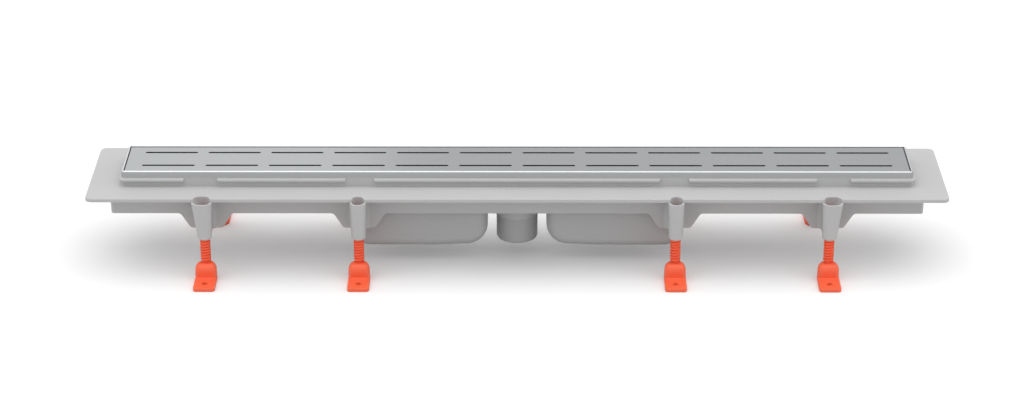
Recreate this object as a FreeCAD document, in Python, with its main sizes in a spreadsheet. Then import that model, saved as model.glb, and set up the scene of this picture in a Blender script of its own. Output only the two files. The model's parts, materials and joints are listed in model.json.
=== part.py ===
import FreeCAD, Part
import math
import os
import re

import Sketcher

# Linear shower channel drain on eight adjustable legs. Millimetres, +Z up, Z = 0 on the floor under the
# feet, X along the channel and Y across it, with the channel centred on both.
# Each row is a name, its number and what it measures.
SIZES = [
    ("stand_height", 103.5, "floor to the top of the tiling flange"),
    ("rim_length", 950.0, "outside of the steel rim, along the channel"),
    ("rim_width", 78.0, "outside of the steel rim, across the channel"),
    ("rim_height", 19.3, "flange top to the top of the rim"),
    ("rim_corner", 4.0, "upright corner of the rim, outside"),
    ("rim_band", 8.1, "depth of the rim's outer band"),
    ("rim_land", 2.7, "width of the rim's top face"),
    ("rim_sheet", 1.2, "sheet steel of the rim"),
    ("rim_edge", 2.0, "rounded outer edge along the rim's top"),
    ("rim_play", 0.1, "gap between the rim's band and the plastic wall"),
    ("flange_length", 1029.0, "tiling flange, along the channel"),
    ("flange_width", 152.8, "tiling flange, across the channel"),
    ("flange_thick", 4.3, "thickness of the flange"),
    ("flange_corner", 8.0, "upright corner of the flange"),
    ("flange_edge", 1.0, "rounded top edge of the flange"),
    ("skirt_length", 976.0, "stiffening skirt under the flange, along the channel"),
    ("skirt_width", 104.0, "stiffening skirt, across the channel"),
    ("skirt_depth", 30.0, "flange top to the skirt's lower edge"),
    ("skirt_wall", 3.0, "wall of the skirt"),
    ("skirt_corner", 4.0, "upright corner of the skirt"),
    ("skirt_draft", 1.2, "draft of the skirt, in degrees"),
    ("ledge_depth", 12.1, "rim top to the ledge under the grate"),
    ("ledge_thick", 2.5, "thickness of the ledge"),
    ("trough_length", 930.0, "inside of the trough, along the channel"),
    ("trough_width", 58.0, "inside of the trough, across the channel"),
    ("trough_wall", 2.5, "wall and floor of the trough"),
    ("trough_deep", 26.3, "flange top to the trough floor over the traps"),
    ("trough_shallow", 20.0, "flange top to the trough floor at its ends"),
    ("rib_thick", 2.4, "cross ribs between the trough and the skirt"),
    ("rib_lift", 2.0, "skirt's lower edge to the ribs' lower edge"),
    ("end_rib_y", 20.0, "middle of the channel to the end ribs"),
    ("bead_radius", 2.9, "half round bead that keys the sealing collar"),
    ("bead_height", 7.9, "flange top to the bead's middle"),
    ("inner_gap_x", 188.7, "middle of the channel to the inner gaps in the bead"),
    ("inner_gap", 34.4, "length of each inner gap in the bead"),
    ("outer_gap_x", 379.7, "middle of the channel to the outer gaps in the bead"),
    ("outer_gap", 40.2, "length of each outer gap in the bead"),
    ("inner_leg_x", 189.5, "middle of the channel to the inner legs"),
    ("outer_leg_x", 373.3, "middle of the channel to the outer legs"),
    ("socket_top", 19.3, "outside of a leg socket at its top"),
    ("socket_foot", 17.0, "outside of a leg socket at its foot"),
    ("socket_depth", 51.2, "flange top to the foot of the sockets"),
    ("socket_wall", 2.45, "wall of a leg socket at its mouth"),
    ("socket_edge", 1.6, "chamfer at the foot of a socket"),
    ("funnel_depth", 20.0, "flange top to the end of the socket's funnel"),
    ("flare_out", 4.9, "reach of an outer socket's oval mouth away from the middle"),
    ("flare_in", 0.5, "reach of an outer socket's oval mouth towards the middle"),
    ("flare_end", 0.1, "reach of the oval left at the foot of an outer socket"),
    ("bracket_depth", 49.0, "flange top to the lower edge of a bracket"),
    ("bracket_top", 62.0, "width of a bracket at the skirt's lower edge"),
    ("bracket_foot", 38.5, "width of a bracket at its lower edge"),
    ("bracket_round", 5.0, "corners of a bracket"),
    ("bracket_flare", 6.0, "hollow corners where a bracket leaves the skirt"),
    ("bracket_root", 2.0, "reach of a bracket up behind the skirt"),
    ("web_width", 15.0, "web between a bracket and its socket"),
    ("web_flare", 6.0, "hollow corners where the web meets the bracket"),
    ("web_wall", 2.6, "walls of the hollow web"),
    ("bowl_inner", 37.6, "middle of the channel to a trap bowl"),
    ("bowl_outer", 195.9, "middle of the channel to the far end of a trap bowl"),
    ("bowl_width", 79.8, "trap bowl, across the channel"),
    ("bowl_depth", 80.5, "flange top to the underside of a trap bowl"),
    ("bowl_wall", 2.5, "wall of a trap bowl"),
    ("bowl_heel", 73.3, "flange top to the corner that the heel curve rounds off"),
    ("bowl_heel_round", 23.0, "heel curve of a trap bowl"),
    ("bowl_flat_x", 98.0, "middle of the channel to the start of a bowl's level floor"),
    ("bowl_toe_round", 19.0, "toe curve of a trap bowl"),
    ("bowl_edge", 18.0, "rounded corners and long edges of a trap bowl"),
    ("collar_wall", 1.8, "wall of the collars that hold the bowls and the spigot"),
    ("collar_depth", 49.5, "flange top to the lower edge of the collars"),
    ("collar_roof", 2.4, "roof of a trap collar"),
    ("bond_play", 0.1, "gap that the weld fills round a bowl or spigot"),
    ("weir_depth", 37.0, "flange top to the weir in a bowl's end wall"),
    ("duct_width", 55.0, "duct between a bowl and the outlet, inside"),
    ("duct_half", 35.8, "middle of the channel to the duct's end under a collar"),
    ("duct_wall", 2.5, "wall and floor of the duct"),
    ("spigot_outside", 50.0, "outside of the outlet spigot"),
    ("spigot_wall", 2.5, "wall of the outlet spigot"),
    ("spigot_step", 0.6, "step that the spigot's welded head stands out by"),
    ("spigot_depth", 82.5, "flange top to the end of the spigot"),
    ("spigot_edge", 1.2, "chamfer at the end of the spigot"),
    ("insert_x", 125.0, "middle of the channel to a trap insert"),
    ("insert_length", 66.0, "dip tube of a trap insert, along the channel"),
    ("insert_width", 40.0, "dip tube of a trap insert, across the channel"),
    ("insert_wall", 2.0, "wall of a dip tube"),
    ("insert_round", 6.0, "upright corners of a dip tube"),
    ("insert_depth", 67.0, "flange top to the foot of a dip tube"),
    ("insert_lip", 7.0, "reach of an insert's plate beyond its dip tube"),
    ("insert_plate", 1.0, "thickness of an insert's plate"),
    ("insert_play", 0.3, "gap round an insert's plate in its seat"),
    ("grip_width", 5.0, "lifting bar across an insert"),
    ("grip_height", 4.0, "height of the lifting bar"),
    ("seal_thick", 1.8, "rubber ring round a dip tube"),
    ("seal_play", 0.1, "gap on each side of the rubber ring"),
    ("grate_gap", 1.1, "gap between the grate and the rim"),
    ("grate_drop", 0.6, "rim top to the grate's top"),
    ("grate_fold", 10.0, "depth of the grate's folded edge"),
    ("grate_sheet", 1.5, "sheet steel of the grate"),
    ("grate_corner", 1.2, "upright corner of the grate"),
    ("grate_edge", 0.7, "rounded edge along the grate's top"),
    ("slot_count", 12, "slots in each row of the grate"),
    ("slot_pitch", 76.35, "spacing of the slots along a row"),
    ("slot_length", 63.5, "length of a slot"),
    ("slot_width", 4.0, "width of a slot"),
    ("slot_row", 19.15, "middle of the grate to each row of slots"),
    ("pad_count", 4, "rubber pads along each side of the grate"),
    ("pad_length", 24.0, "rubber pad, along the channel"),
    ("pad_width", 4.2, "rubber pad, across the channel"),
    ("pad_play", 0.2, "gap between a pad and the wall beside it"),
    ("screw_outside", 12.5, "outside of a leg screw's thread"),
    ("screw_play", 0.3, "gap between a leg screw and its socket"),
    ("screw_drop", 15.0, "flange top to the top of a leg screw"),
    ("screw_edge", 1.0, "chamfer at the top of a leg screw"),
    ("drive_width", 2.0, "screwdriver slot in the top of a leg screw"),
    ("drive_depth", 3.0, "depth of the screwdriver slot"),
    ("journal_outside", 9.9, "smooth lower end of a leg screw"),
    ("journal_play", 0.05, "running gap between that end and the foot"),
    ("journal_length", 15.5, "length of that end inside the foot"),
    ("journal_end", 0.3, "gap under the end of a leg screw"),
    ("foot_width", 26.0, "width of a foot"),
    ("foot_reach", 39.5, "leg axis to the outer edge of a foot"),
    ("foot_heel", 8.5, "leg axis to the inner edge of a foot"),
    ("heel_round", 12.4, "inner corners of a foot's plate"),
    ("foot_thick", 4.6, "thickness of a foot's plate"),
    ("foot_corner", 4.0, "outer corners of a foot's plate"),
    ("foot_edge", 0.6, "chamfered top edge of a foot's plate"),
    ("boss_height", 21.5, "floor to the top of a foot's boss"),
    ("boss_front", 12.3, "leg axis to the outer face of a boss, at the plate"),
    ("boss_round", 6.0, "upright outer corners of a boss"),
    ("boss_crown", 5.5, "rounded top of a boss"),
    ("boss_draft", 1.5, "draft of a boss, in degrees"),
    ("fixing_hole", 6.8, "hole in a foot for a screw into the floor"),
    ("fixing_reach", 26.0, "leg axis to the fixing hole"),
]
ALIASES = {alias for alias, number, meaning in SIZES}

# Levels and faces that several pieces share, as rules on the sheet's names.
FLANGE_TOP = "stand_height"
FLANGE_BOTTOM = "(stand_height - flange_thick)"
RIM_TOP = "(stand_height + rim_height)"
BAND_BOTTOM = f"({RIM_TOP} - rim_band)"
WALL_TOP = f"({RIM_TOP} - rim_sheet)"
LEDGE_TOP = f"({RIM_TOP} - ledge_depth)"
LEDGE_UNDER = f"({LEDGE_TOP} - ledge_thick)"
SKIRT_BOTTOM = "(stand_height - skirt_depth)"
TROUGH_LOW = "(stand_height - trough_deep)"
TROUGH_HIGH = "(stand_height - trough_shallow)"
SEAT = f"({TROUGH_LOW} - insert_plate)"
ROOF = f"({TROUGH_LOW} - trough_wall - insert_plate)"
WEIR = "(stand_height - weir_depth)"
DUCT_UNDER = f"({WEIR} - duct_wall)"
COLLAR_BOTTOM = "(stand_height - collar_depth)"
SOCKET_BOTTOM = "(stand_height - socket_depth)"
GRATE_TOP = f"({RIM_TOP} - grate_drop)"
GRATE_BOTTOM = f"({GRATE_TOP} - grate_fold)"
SKIRT_FACE = "(skirt_width / 2 - (skirt_depth - flange_thick) * tan(skirt_draft * 1deg))"
LEG_AXIS_Y = "(flange_width / 2)"

# Each leg: its name, the side of the middle that it is on, the side across, and whether its mouth is oval.
LEGS = [(f"{row}_{number}", along, across, oval)
        for row, across in (("front", -1), ("rear", 1))
        for number, (along, oval) in enumerate(((-1, True), (-1, False), (1, False), (1, True)), start=1)]

doc = FreeCAD.newDocument("ChannelDrain")
sheet = doc.addObject("Spreadsheet::Sheet", "Sizes")
for line, (alias, number, meaning) in enumerate(SIZES, start=1):
    sheet.set(f"A{line}", meaning)
    sheet.set(f"B{line}", str(number))
    sheet.setAlias(f"B{line}", alias)
doc.recompute()


def rule(text):
    """The same rule with each of the sheet's names written in full."""
    def in_full(word):
        name = word.group()
        return f"Sizes.{name}" if name in ALIASES else name

    return re.sub(r"[a-z]\w*", in_full, text)


def value(text):
    """The number that a rule comes to."""
    result = sheet.evalExpression(text)
    return float(getattr(result, "Value", result))


def tie(item, **sizes):
    """Binds an object's properties to rules; a double underscore stands for the dot of a path."""
    for path, text in sizes.items():
        item.setExpression(path.replace("__", "."), rule(text))


# ---- sketches ----

def new_body(label):
    body = doc.addObject("PartDesign::Body", label)
    body.Label = label
    return body


def new_sketch(body, name, plane, offset="0"):
    """A sketch on one of the body's own planes, moved along the plane's normal by a rule."""
    sketch = body.newObject("Sketcher::SketchObject", name)
    support = next(item for item in body.Origin.OriginFeatures if item.Role == f"{plane}_Plane")
    sketch.AttachmentSupport = [(support, "")]
    sketch.MapMode = "FlatFace"
    tie(sketch, AttachmentOffset__Base__z=offset)
    return sketch


def fix(sketch, kind, geometry, point, text):
    """Holds a coordinate of a point to a rule."""
    index = sketch.addConstraint(Sketcher.Constraint(kind, geometry, point, value(text)))
    sketch.setExpression(f"Constraints[{index}]", rule(text))


def fix_radius(sketch, geometry, text):
    index = sketch.addConstraint(Sketcher.Constraint("Radius", geometry, value(text)))
    sketch.setExpression(f"Constraints[{index}]", rule(text))


def circle(sketch, x, y, radius):
    centre = FreeCAD.Vector(value(x), value(y), 0)
    ring = sketch.addGeometry(Part.Circle(centre, FreeCAD.Vector(0, 0, 1), value(radius)), False)
    fix(sketch, "DistanceX", ring, 3, x)
    fix(sketch, "DistanceY", ring, 3, y)
    fix_radius(sketch, ring, radius)


def oval(sketch, x_low, x_high, y, radius):
    """Two half circles joined by straight sides along X."""
    low = FreeCAD.Vector(value(x_low), value(y), 0)
    high = FreeCAD.Vector(value(x_high), value(y), 0)
    reach = value(radius)
    up = FreeCAD.Vector(0, reach, 0)
    axis = FreeCAD.Vector(0, 0, 1)
    quarter = math.pi / 2
    right = sketch.addGeometry(Part.ArcOfCircle(Part.Circle(high, axis, reach), -quarter, quarter), False)
    top = sketch.addGeometry(Part.LineSegment(high + up, low + up), False)
    left = sketch.addGeometry(Part.ArcOfCircle(Part.Circle(low, axis, reach), quarter, 3 * quarter), False)
    bottom = sketch.addGeometry(Part.LineSegment(low - up, high - up), False)
    for first, second in ((right, top), (top, left), (left, bottom), (bottom, right)):
        sketch.addConstraint(Sketcher.Constraint("Tangent", first, 2, second, 1))
    sketch.addConstraint(Sketcher.Constraint("Equal", right, left))
    for arc, x in ((left, x_low), (right, x_high)):
        fix(sketch, "DistanceX", arc, 3, x)
        fix(sketch, "DistanceY", arc, 3, y)
    fix_radius(sketch, right, radius)


def outline(sketch, corners):
    """A closed outline, anticlockwise, through corners (x, y) or (x, y, radius), all of them rules."""
    points = [FreeCAD.Vector(value(corner[0]), value(corner[1]), 0) for corner in corners]
    count = len(corners)
    arrivals, departures, bends = [], [], []
    for index, corner in enumerate(corners):
        back = (points[index - 1] - points[index]).normalize()
        ahead = (points[(index + 1) % count] - points[index]).normalize()
        if len(corner) == 2:
            arrivals.append(points[index])
            departures.append(points[index])
            bends.append(None)
            continue
        half = back.getAngle(ahead) / 2
        radius = value(corner[2])
        arrivals.append(points[index] + back * (radius / math.tan(half)))
        departures.append(points[index] + ahead * (radius / math.tan(half)))
        centre = points[index] + (back + ahead).normalize() * (radius / math.sin(half))
        left_turn = ahead.cross(back).z > 0
        begin, end = (arrivals[-1], departures[-1]) if left_turn else (departures[-1], arrivals[-1])
        angles = [math.atan2(spot.y - centre.y, spot.x - centre.x) for spot in (begin, end)]
        if angles[1] < angles[0]:
            angles[1] += 2 * math.pi
        bend = Part.ArcOfCircle(Part.Circle(centre, FreeCAD.Vector(0, 0, 1), radius), *angles)
        bends.append((sketch.addGeometry(bend, False), left_turn))
    lines = [sketch.addGeometry(Part.LineSegment(departures[index], arrivals[(index + 1) % count]), False)
             for index in range(count)]
    for index, corner in enumerate(corners):
        before, after = lines[index - 1], lines[index]
        if bends[index] is None:
            sketch.addConstraint(Sketcher.Constraint("Coincident", before, 2, after, 1))
            fix(sketch, "DistanceX", after, 1, corner[0])
            fix(sketch, "DistanceY", after, 1, corner[1])
            continue
        arc, left_turn = bends[index]
        begin, end = (1, 2) if left_turn else (2, 1)
        sketch.addConstraint(Sketcher.Constraint("Tangent", before, 2, arc, begin))
        sketch.addConstraint(Sketcher.Constraint("Tangent", arc, end, after, 1))
        peak = sketch.addGeometry(Part.Point(points[index]), True)
        sketch.addConstraint(Sketcher.Constraint("PointOnObject", peak, 1, before))
        sketch.addConstraint(Sketcher.Constraint("PointOnObject", peak, 1, after))
        fix(sketch, "DistanceX", peak, 1, corner[0])
        fix(sketch, "DistanceY", peak, 1, corner[1])
        fix_radius(sketch, arc, corner[2])


def rectangle(sketch, length, width, radius=None, x="0", y="0"):
    """A rectangle about a centre, with its corners rounded where a radius is given."""
    half_x, half_y = f"({length}) / 2", f"({width}) / 2"
    rounding = (radius,) if radius else ()
    outline(sketch, [(f"{x} - {half_x}", f"{y} - {half_y}", *rounding),
                     (f"{x} + {half_x}", f"{y} - {half_y}", *rounding),
                     (f"{x} + {half_x}", f"{y} + {half_y}", *rounding),
                     (f"{x} - {half_x}", f"{y} + {half_y}", *rounding)])


# ---- features ----

def extrude(kind, body, sketch, length, reverse, symmetric, taper):
    feature = body.newObject(f"PartDesign::{kind}", f"{sketch.Name}_{kind.lower()}")
    feature.Profile = sketch
    feature.Refine = False
    tie(feature, Length=length)
    feature.Reversed = reverse
    if symmetric:
        feature.SideType = "Symmetric"
    if taper:
        tie(feature, TaperAngle=taper)
    body.Tip = feature
    return feature


def pad(body, sketch, length, against=False, symmetric=False, taper=None):
    """Adds material along the sketch's normal, or against it."""
    return extrude("Pad", body, sketch, length, against, symmetric, taper)


def cut(body, sketch, length, against=False, symmetric=False, taper=None):
    """Removes material along the sketch's normal, or against it."""
    return extrude("Pocket", body, sketch, length, not against, symmetric, taper)


def loft(body, kind, first, *others):
    feature = body.newObject(f"PartDesign::{kind}Loft", f"{first.Name}_loft")
    feature.Profile = first
    feature.Sections = list(others)
    feature.Ruled = True
    feature.Refine = False
    body.Tip = feature
    return feature


def dress_edges(kind, body, chosen, **size):
    """Rounds or chamfers the edges of the body that a test picks."""
    doc.recompute()
    base = body.Tip
    names = [f"Edge{index}" for index, edge in enumerate(base.Shape.Edges, start=1) if chosen(edge)]
    if not names:
        raise RuntimeError(f"{body.Label}: no edge to dress")
    feature = body.newObject(f"PartDesign::{kind}", f"{base.Name}_{kind.lower()}")
    feature.Base = (base, names)
    tie(feature, **size)
    body.Tip = feature
    return feature


def round_edges(body, radius, chosen):
    return dress_edges("Fillet", body, chosen, Radius=radius)


def chamfer_edges(body, size, chosen):
    return dress_edges("Chamfer", body, chosen, Size=size)


def at_level(edge, text):
    """Whether an edge lies wholly at the height that a rule gives."""
    level = value(text)
    box = edge.BoundBox
    return abs(box.ZMin - level) < 0.01 and abs(box.ZMax - level) < 0.01


# ---- channel body ----

def leg_x(along, oval_mouth):
    return f"({along} * {'outer_leg_x' if oval_mouth else 'inner_leg_x'})"


def leg_y(across):
    return f"({across} * {LEG_AXIS_Y})"


def mouth(sketch, leg, radius, out, inward):
    """The outline of a socket's mouth or bore: round, or oval and reaching outwards on the outer legs."""
    name, along, across, oval_mouth = leg
    x, y = leg_x(along, oval_mouth), leg_y(across)
    if not oval_mouth:
        circle(sketch, x, y, radius)
    elif along > 0:
        oval(sketch, f"{x} - {inward}", f"{x} + {out}", y, radius)
    else:
        oval(sketch, f"{x} - {out}", f"{x} + {inward}", y, radius)


def trough_profile(sketch, length, top, grow):
    """The trough seen from the side: level over the traps and rising to both ends."""
    low, high = f"{TROUGH_LOW} - {grow}", f"{TROUGH_HIGH} - {grow}"
    outline(sketch, [(f"-({length}) / 2", top), (f"-({length}) / 2", high), ("-bowl_outer", low),
                     ("bowl_outer", low), (f"({length}) / 2", high), (f"({length}) / 2", top)])


def channel_body():
    """The one moulding: flange, skirt, trough, ribs, leg sockets and the collars for the traps."""
    body = new_body("channel_body")

    flange = new_sketch(body, "flange", "XY", FLANGE_BOTTOM)
    rectangle(flange, "flange_length", "flange_width", "flange_corner")
    pad(body, flange, "flange_thick")
    round_edges(body, "flange_edge", lambda edge: at_level(edge, FLANGE_TOP))

    skirt = new_sketch(body, "skirt", "XY", FLANGE_BOTTOM)
    rectangle(skirt, "skirt_length", "skirt_width", "skirt_corner")
    pad(body, skirt, "skirt_depth - flange_thick", against=True, taper="-skirt_draft")
    upstand = new_sketch(body, "upstand", "XY", FLANGE_TOP)
    rectangle(upstand, "rim_length", "rim_width", "rim_corner")
    pad(body, upstand, "rim_height - rim_sheet")
    sealing_bead(body)

    hollow = new_sketch(body, "hollow", "XY", FLANGE_BOTTOM)
    rectangle(hollow, "skirt_length - 2 * skirt_wall", "skirt_width - 2 * skirt_wall", "skirt_corner / 2")
    cut(body, hollow, "skirt_depth - flange_thick", against=True, taper="-skirt_draft")
    core = new_sketch(body, "core", "XY", FLANGE_BOTTOM)
    rectangle(core, "rim_length - 2 * rim_land", "rim_width - 2 * rim_land")
    cut(body, core, f"{LEDGE_UNDER} - {FLANGE_BOTTOM}")

    ribs(body)
    tub = new_sketch(body, "tub", "XZ")
    trough_profile(tub, "trough_length + 2 * trough_wall", LEDGE_TOP, "trough_wall")
    pad(body, tub, "trough_width + 2 * trough_wall", symmetric=True)
    collars(body)
    trough = new_sketch(body, "trough", "XZ")
    trough_profile(trough, "trough_length", RIM_TOP, "0")
    cut(body, trough, "trough_width", symmetric=True)
    grate_seat = new_sketch(body, "grate_seat", "XY", LEDGE_TOP)
    rectangle(grate_seat, "rim_length - 2 * rim_land", "rim_width - 2 * rim_land")
    cut(body, grate_seat, "ledge_depth")
    rim_step = new_sketch(body, "rim_step", "XY", BAND_BOTTOM)
    rectangle(rim_step, "rim_length + 2 * rim_sheet", "rim_width + 2 * rim_sheet")
    rectangle(rim_step, "rim_length - 2 * (rim_sheet + rim_play)", "rim_width - 2 * (rim_sheet + rim_play)",
              "rim_corner - rim_sheet - rim_play")
    cut(body, rim_step, "rim_band")
    insert_seats(body)

    socket_tubes(body)
    brackets(body)
    socket_bores(body)
    return body


def sealing_bead(body):
    """A half round bead round the upstand, broken over each pair of legs."""
    path = new_sketch(body, "bead_path", "XY", "stand_height + bead_height")
    rectangle(path, "rim_length", "rim_width", "rim_corner")
    section = new_sketch(body, "bead_section", "YZ")
    circle(section, "rim_width / 2", "stand_height + bead_height", "bead_radius")
    bead = body.newObject("PartDesign::AdditivePipe", "bead")
    bead.Profile = section
    bead.Spine = (path, [])
    bead.Transition = "Transformed"
    bead.Refine = False
    body.Tip = bead
    gaps = new_sketch(body, "bead_gaps", "XY", "stand_height + bead_height - bead_radius")
    for across in (-1, 1):
        for along in (-1, 1):
            for place, length in (("inner_gap_x", "inner_gap"), ("outer_gap_x", "outer_gap")):
                rectangle(gaps, length, "bead_radius * 2", x=f"{along} * {place}",
                          y=f"{across} * (rim_width / 2 + bead_radius)")
    cut(body, gaps, "bead_radius * 2")


def ribs(body):
    """Cross ribs behind the legs and halfway between them, and two along each end."""
    cross = new_sketch(body, "ribs", "XY", f"{SKIRT_BOTTOM} + rib_lift")
    span = "skirt_width - 2 * skirt_wall"
    for along in (-1, 1):
        for station in ("bowl_outer / 4", "(inner_leg_x + outer_leg_x) / 2",
                        "(outer_leg_x + trough_length / 2) / 2"):
            rectangle(cross, "rib_thick", span, x=f"{along} * {station}")
        for across in (-1, 1):
            rectangle(cross, "(skirt_length - trough_length) / 2 - skirt_wall", "rib_thick",
                      x=f"{along} * ((skirt_length + trough_length) / 4 - skirt_wall / 2)",
                      y=f"{across} * end_rib_y")
    pad(body, cross, f"{FLANGE_BOTTOM} - {SKIRT_BOTTOM} - rib_lift")


def brackets(body):
    """Wings that drop from the skirt beside each leg, in the plane of the skirt's lower edge."""
    for side, across in (("front", -1), ("rear", 1)):
        wings = new_sketch(body, f"wings_{side}", "XZ", f"{-across} * {SKIRT_FACE}")
        for along in (-1, 1):
            for oval_mouth in (True, False):
                x = leg_x(along, oval_mouth)
                top = f"{SKIRT_BOTTOM} + bracket_root"
                foot = "stand_height - bracket_depth"
                spread = "(bracket_top / 2 + bracket_flare)"
                outline(wings, [(f"{x} - {spread}", top), (f"{x} - {spread}", SKIRT_BOTTOM),
                                (f"{x} - bracket_top / 2", SKIRT_BOTTOM, "bracket_flare"),
                                (f"{x} - bracket_foot / 2", foot, "bracket_round"),
                                (f"{x} + bracket_foot / 2", foot, "bracket_round"),
                                (f"{x} + bracket_top / 2", SKIRT_BOTTOM, "bracket_flare"),
                                (f"{x} + {spread}", SKIRT_BOTTOM), (f"{x} + {spread}", top)])
        pad(body, wings, "skirt_wall", against=across < 0)
    webs = new_sketch(body, "webs", "XY", "stand_height - bracket_depth")
    for name, along, across, oval_mouth in LEGS:
        x, y = leg_x(along, oval_mouth), leg_y(across)
        face = f"{across} * {SKIRT_FACE}"
        root = f"{across} * ({SKIRT_FACE} - skirt_wall / 2)"
        wide = "(bracket_foot / 2 - bracket_round)"
        corners = [(f"{x} - {wide}", root), (f"{x} + {wide}", root), (f"{x} + {wide}", face),
                   (f"{x} + web_width / 2", face, "web_flare"), (f"{x} + web_width / 2", y),
                   (f"{x} - web_width / 2", y), (f"{x} - web_width / 2", face, "web_flare"),
                   (f"{x} - {wide}", face)]
        outline(webs, corners if across > 0 else corners[::-1])
    pad(body, webs, "bracket_depth - flange_thick")
    web_cores = new_sketch(body, "web_cores", "XY", "stand_height - bracket_depth + web_wall")
    for name, along, across, oval_mouth in LEGS:
        reach = f"({LEG_AXIS_Y} - socket_top / 2)"
        rectangle(web_cores, "web_width - 2 * web_wall", f"{reach} - ({SKIRT_FACE} - skirt_wall)",
                  x=leg_x(along, oval_mouth), y=f"{across} * ({reach} + {SKIRT_FACE} - skirt_wall) / 2")
    cut(body, web_cores, "bracket_depth - flange_thick - web_wall")


def socket_tubes(body):
    """Tapered tubes that stand at the flange's edge; the mouths of the outer ones are oval."""
    for leg in LEGS:
        name = leg[0]
        top = new_sketch(body, f"socket_top_{name}", "XY", FLANGE_BOTTOM)
        mouth(top, leg, "socket_top / 2", "flare_out", "flare_in")
        neck = new_sketch(body, f"socket_neck_{name}", "XY", f"{SOCKET_BOTTOM} + socket_edge")
        mouth(neck, leg, "socket_foot / 2", "flare_end", "flare_end")
        foot_ring = new_sketch(body, f"socket_foot_{name}", "XY", SOCKET_BOTTOM)
        mouth(foot_ring, leg, "socket_foot / 2 - socket_edge", "flare_end", "flare_end")
        loft(body, "Additive", top, neck, foot_ring)


def socket_bores(body):
    """Opens each socket through a notch in the flange, a funnel and a bore for the leg screw."""
    wide = "socket_top / 2 - socket_wall"
    narrow = "(screw_outside / 2 + screw_play)"
    notches = new_sketch(body, "notches", "XY", FLANGE_TOP)
    for leg in LEGS:
        mouth(notches, leg, wide, "flare_out", "flare_in")
    cut(body, notches, "flange_thick", against=True)
    bores = new_sketch(body, "bores", "XY", SOCKET_BOTTOM)
    for name, along, across, oval_mouth in LEGS:
        circle(bores, leg_x(along, oval_mouth), leg_y(across), narrow)
    cut(body, bores, "socket_depth - flange_thick")
    for leg in LEGS:
        name = leg[0]
        funnel = new_sketch(body, f"funnel_{name}", "XY", FLANGE_BOTTOM)
        mouth(funnel, leg, wide, "flare_out", "flare_in")
        throat = new_sketch(body, f"throat_{name}", "XY", "stand_height - funnel_depth")
        mouth(throat, leg, narrow, "flare_end", "flare_end")
        loft(body, "Subtractive", funnel, throat)


def collars(body):
    """Collars for the two bowls and the spigot, and the duct that joins them over the weirs."""
    middle = "(bowl_inner + bowl_outer) / 2"
    length = "bowl_outer - bowl_inner"
    grow = "(bond_play + collar_wall)"
    outer = new_sketch(body, "collars", "XY", COLLAR_BOTTOM)
    for along in (-1, 1):
        rectangle(outer, f"{length} + 2 * {grow}", f"bowl_width + 2 * {grow}", f"bowl_edge + {grow}",
                  x=f"{along} * {middle}")
    pad(body, outer, f"{ROOF} + collar_roof - {COLLAR_BOTTOM}")
    duct = new_sketch(body, "duct", "XY", DUCT_UNDER)
    rectangle(duct, "2 * duct_half", "duct_width + 2 * duct_wall")
    pad(body, duct, f"{ROOF} + duct_wall - {DUCT_UNDER}")
    ring = new_sketch(body, "spigot_ring", "XY", COLLAR_BOTTOM)
    circle(ring, "0", "0", "spigot_outside / 2 + spigot_step + bond_play + collar_wall")
    pad(body, ring, f"{DUCT_UNDER} - {COLLAR_BOTTOM}")

    inner = new_sketch(body, "collar_bores", "XY", COLLAR_BOTTOM)
    for along in (-1, 1):
        rectangle(inner, f"{length} + 2 * bond_play", "bowl_width + 2 * bond_play", "bowl_edge + bond_play",
                  x=f"{along} * {middle}")
    cut(body, inner, f"{ROOF} - {COLLAR_BOTTOM}")
    passage = new_sketch(body, "duct_passage", "XY", WEIR)
    rectangle(passage, "2 * (bowl_inner + bowl_wall)", "duct_width")
    cut(body, passage, f"{ROOF} - {WEIR}")
    ring_bore = new_sketch(body, "ring_bore", "XY", COLLAR_BOTTOM)
    circle(ring_bore, "0", "0", "spigot_outside / 2 + spigot_step + bond_play")
    cut(body, ring_bore, f"{DUCT_UNDER} - {COLLAR_BOTTOM}")
    outlet = new_sketch(body, "outlet", "XY", DUCT_UNDER)
    circle(outlet, "0", "0", "spigot_outside / 2 - spigot_wall")
    cut(body, outlet, "duct_wall")


def insert_seats(body):
    """A shallow seat and an opening in the trough floor for each trap insert."""
    seats = new_sketch(body, "insert_seats", "XY", SEAT)
    openings = new_sketch(body, "insert_openings", "XY", ROOF)
    reach = "2 * (insert_lip + insert_play)"
    ring = "2 * (seal_thick + 2 * seal_play)"
    for along in (-1, 1):
        rectangle(seats, f"insert_length + {reach}", f"insert_width + {reach}",
                  "insert_round + insert_lip + insert_play", x=f"{along} * insert_x")
        rectangle(openings, f"insert_length + {ring}", f"insert_width + {ring}",
                  "insert_round + seal_thick + 2 * seal_play", x=f"{along} * insert_x")
    cut(body, seats, "insert_plate")
    cut(body, openings, f"{SEAT} - {ROOF}")


# ---- steel rim and grate ----

def rim_frame():
    """Folded sheet steel: a band round the upstand and a narrow top face turned inwards."""
    body = new_body("rim_frame")
    block = new_sketch(body, "rim_block", "XY", BAND_BOTTOM)
    rectangle(block, "rim_length", "rim_width", "rim_corner")
    pad(body, block, "rim_band")
    round_edges(body, "rim_edge", lambda edge: at_level(edge, RIM_TOP))
    inside = new_sketch(body, "rim_inside", "XY", BAND_BOTTOM)
    rectangle(inside, "rim_length - 2 * rim_sheet", "rim_width - 2 * rim_sheet", "rim_corner - rim_sheet")
    cut(body, inside, "rim_band - rim_sheet")
    opening = new_sketch(body, "rim_opening", "XY", WALL_TOP)
    rectangle(opening, "rim_length - 2 * rim_land", "rim_width - 2 * rim_land")
    cut(body, opening, "rim_sheet")
    return body


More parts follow.
